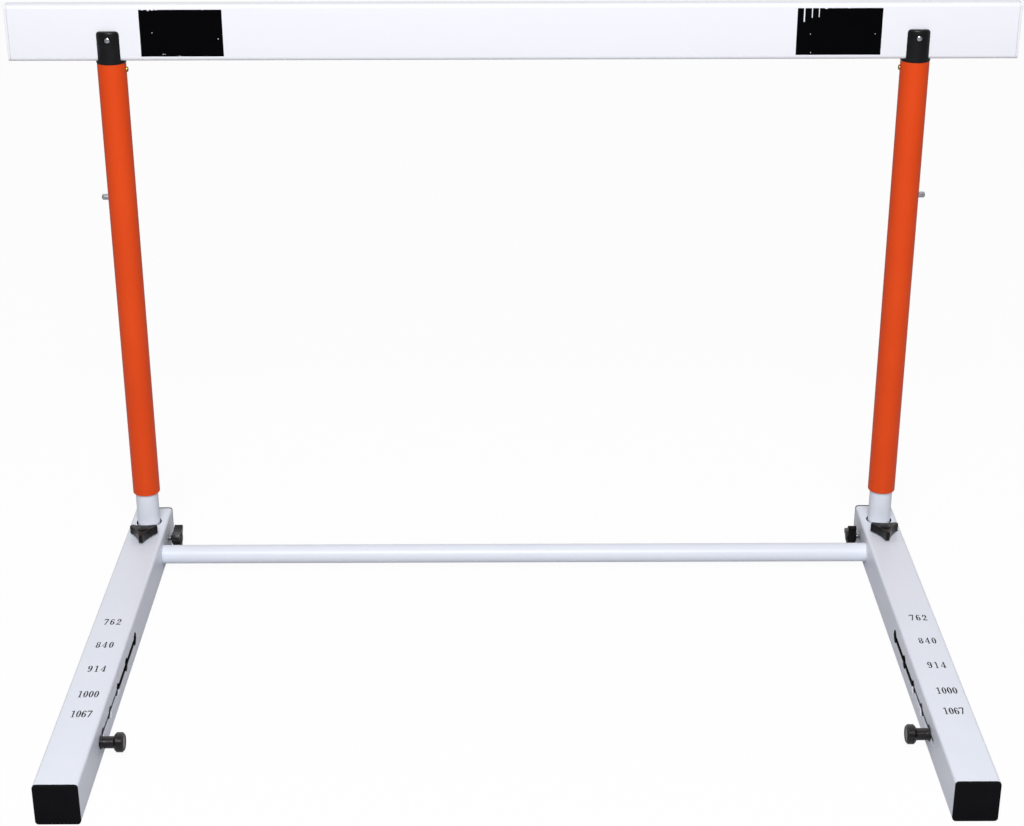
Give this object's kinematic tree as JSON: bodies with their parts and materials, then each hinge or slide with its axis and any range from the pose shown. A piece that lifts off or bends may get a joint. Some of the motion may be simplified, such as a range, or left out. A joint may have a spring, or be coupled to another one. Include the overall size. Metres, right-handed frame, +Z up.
{
  "type": "track hurdle",
  "caption": "Adjustable track hurdle: a board on two telescopic posts over a U-shaped tube base with sliding counterweights.",
  "frame": {"origin": "centre of the footprint on the ground", "axes": "+X along the bar, +Y away from the oncoming runner, +Z up"},
  "size_m": [1.25, 0.682, 0.762],
  "materials": {
    "white_paint": "satin white powder coat on steel tube",
    "white_board": "smooth white extruded plastic",
    "orange_paint": "semi-gloss orange powder coat",
    "black_plastic": "moulded black plastic",
    "zinc_steel": "zinc plated",
    "grey_iron": "grey primed cast iron"
  },
  "bodies": {
    "base": {"leg_tube_left": "white_paint", "leg_tube_right": "white_paint", "leg_front_cap_left": "black_plastic", "leg_front_cap_right": "black_plastic", "leg_rear_cap_left": "black_plastic", "leg_rear_cap_right": "black_plastic", "post_left": "white_paint", "post_right": "white_paint", "post_guide_bush_left": "black_plastic", "post_guide_bush_right": "black_plastic", "snap_spring_left": "zinc_steel", "snap_spring_right": "zinc_steel", "tube_clamp_nut_left": "zinc_steel", "tube_clamp_nut_right": "zinc_steel", "post_clamp_nut_left": "zinc_steel", "post_clamp_nut_right": "zinc_steel", "cross_tube": "white_paint"},
    "crossbar_assembly": {"sleeve_left": "orange_paint", "sleeve_right": "orange_paint", "bar_holder_left": "black_plastic", "bar_holder_right": "black_plastic", "holder_screw_left": "zinc_steel", "holder_screw_right": "zinc_steel", "tongue_screw_left": "zinc_steel", "tongue_screw_right": "zinc_steel", "crossbar": "white_board", "crossbar_end_cap_left": "white_board", "crossbar_end_cap_right": "white_board"},
    "snap_button_left": {"snap_button_left": "zinc_steel"},
    "tube_clamp_stud_left": {"tube_clamp_stud_left": "zinc_steel"},
    "tube_clamp_knob_left": {"tube_clamp_knob_left": "black_plastic"},
    "post_clamp_stud_left": {"post_clamp_stud_left": "zinc_steel"},
    "post_clamp_knob_left": {"post_clamp_knob_left": "black_plastic"},
    "counterweight_left": {"counterweight_left": "grey_iron"},
    "weight_stud_left": {"weight_stud_left": "zinc_steel"},
    "weight_knob_left": {"weight_knob_left": "black_plastic"},
    "snap_button_right": {"snap_button_right": "zinc_steel"},
    "tube_clamp_stud_right": {"tube_clamp_stud_right": "zinc_steel"},
    "tube_clamp_knob_right": {"tube_clamp_knob_right": "black_plastic"},
    "post_clamp_stud_right": {"post_clamp_stud_right": "zinc_steel"},
    "post_clamp_knob_right": {"post_clamp_knob_right": "black_plastic"},
    "counterweight_right": {"counterweight_right": "grey_iron"},
    "weight_stud_right": {"weight_stud_right": "zinc_steel"},
    "weight_knob_right": {"weight_knob_right": "black_plastic"}
  },
  "joints": [
    {"name": "crossbar_height", "type": "slide", "parent": "base", "child": "crossbar_assembly", "axis": [0, 0, 1], "range_m": [0, 0.305], "deforming": ["snap_button_left", "snap_button_right"]},
    {"name": "snap_button_press_left", "type": "slide", "parent": "base", "child": "snap_button_left", "axis": [1, 0, 0], "range_m": [0, 0.0105], "stiffness_N_per_m": 600, "springref_m": -0.004, "deforming": ["snap_spring_left"]},
    {"name": "tube_clamp_lift_left", "type": "slide", "parent": "base", "child": "tube_clamp_stud_left", "axis": [0, 0, 1], "range_m": [0, 0.00501]},
    {"name": "tube_clamp_turn_left", "type": "hinge", "parent": "tube_clamp_stud_left", "child": "tube_clamp_knob_left", "pos_m": [-0.5, 0.2475, 0.058], "axis": [0, 0, 1], "range_deg": [0, 1440]},
    {"name": "post_clamp_lift_left", "type": "slide", "parent": "base", "child": "post_clamp_stud_left", "axis": [1, 0, 0], "range_m": [0, 0.00501]},
    {"name": "post_clamp_turn_left", "type": "hinge", "parent": "post_clamp_stud_left", "child": "post_clamp_knob_left", "pos_m": [-0.463, 0.296, 0.025], "axis": [1, 0, 0], "range_deg": [0, 1440]},
    {"name": "counterweight_slide_left", "type": "slide", "parent": "base", "child": "counterweight_left", "axis": [0, 1, 0], "range_m": [-0.0062, 0.2412]},
    {"name": "weight_clamp_lift_left", "type": "slide", "parent": "counterweight_left", "child": "weight_stud_left", "axis": [1, 0, 0], "range_m": [0, 0.00321]},
    {"name": "weight_clamp_turn_left", "type": "hinge", "parent": "weight_stud_left", "child": "weight_knob_left", "pos_m": [-0.46, -0.216, 0.025], "axis": [1, 0, 0], "range_deg": [0, 1440]},
    {"name": "snap_button_press_right", "type": "slide", "parent": "base", "child": "snap_button_right", "axis": [-1, 0, 0], "range_m": [0, 0.0105], "stiffness_N_per_m": 600, "springref_m": -0.004, "deforming": ["snap_spring_right"]},
    {"name": "tube_clamp_lift_right", "type": "slide", "parent": "base", "child": "tube_clamp_stud_right", "axis": [0, 0, 1], "range_m": [0, 0.00501]},
    {"name": "tube_clamp_turn_right", "type": "hinge", "parent": "tube_clamp_stud_right", "child": "tube_clamp_knob_right", "pos_m": [0.5, 0.2475, 0.058], "axis": [0, 0, 1], "range_deg": [0, 1440]},
    {"name": "post_clamp_lift_right", "type": "slide", "parent": "base", "child": "post_clamp_stud_right", "axis": [-1, 0, 0], "range_m": [0, 0.00501]},
    {"name": "post_clamp_turn_right", "type": "hinge", "parent": "post_clamp_stud_right", "child": "post_clamp_knob_right", "pos_m": [0.463, 0.296, 0.025], "axis": [-1, 0, 0], "range_deg": [0, 1440]},
    {"name": "counterweight_slide_right", "type": "slide", "parent": "base", "child": "counterweight_right", "axis": [0, 1, 0], "range_m": [-0.0172, 0.2302]},
    {"name": "weight_clamp_lift_right", "type": "slide", "parent": "counterweight_right", "child": "weight_stud_right", "axis": [-1, 0, 0], "range_m": [0, 0.00321]},
    {"name": "weight_clamp_turn_right", "type": "hinge", "parent": "weight_stud_right", "child": "weight_knob_right", "pos_m": [0.46, -0.205, 0.025], "axis": [-1, 0, 0], "range_deg": [0, 1440]}
  ],
  "couplings": [
    {"joint": "tube_clamp_lift_left", "follows": "tube_clamp_turn_left", "m_per_rad": 0.00019894},
    {"joint": "post_clamp_lift_left", "follows": "post_clamp_turn_left", "m_per_rad": 0.00019894},
    {"joint": "weight_clamp_lift_left", "follows": "weight_clamp_turn_left", "m_per_rad": 0.00012732},
    {"joint": "tube_clamp_lift_right", "follows": "tube_clamp_turn_right", "m_per_rad": 0.00019894},
    {"joint": "post_clamp_lift_right", "follows": "post_clamp_turn_right", "m_per_rad": 0.00019894},
    {"joint": "weight_clamp_lift_right", "follows": "weight_clamp_turn_right", "m_per_rad": 0.00012732}
  ]
}
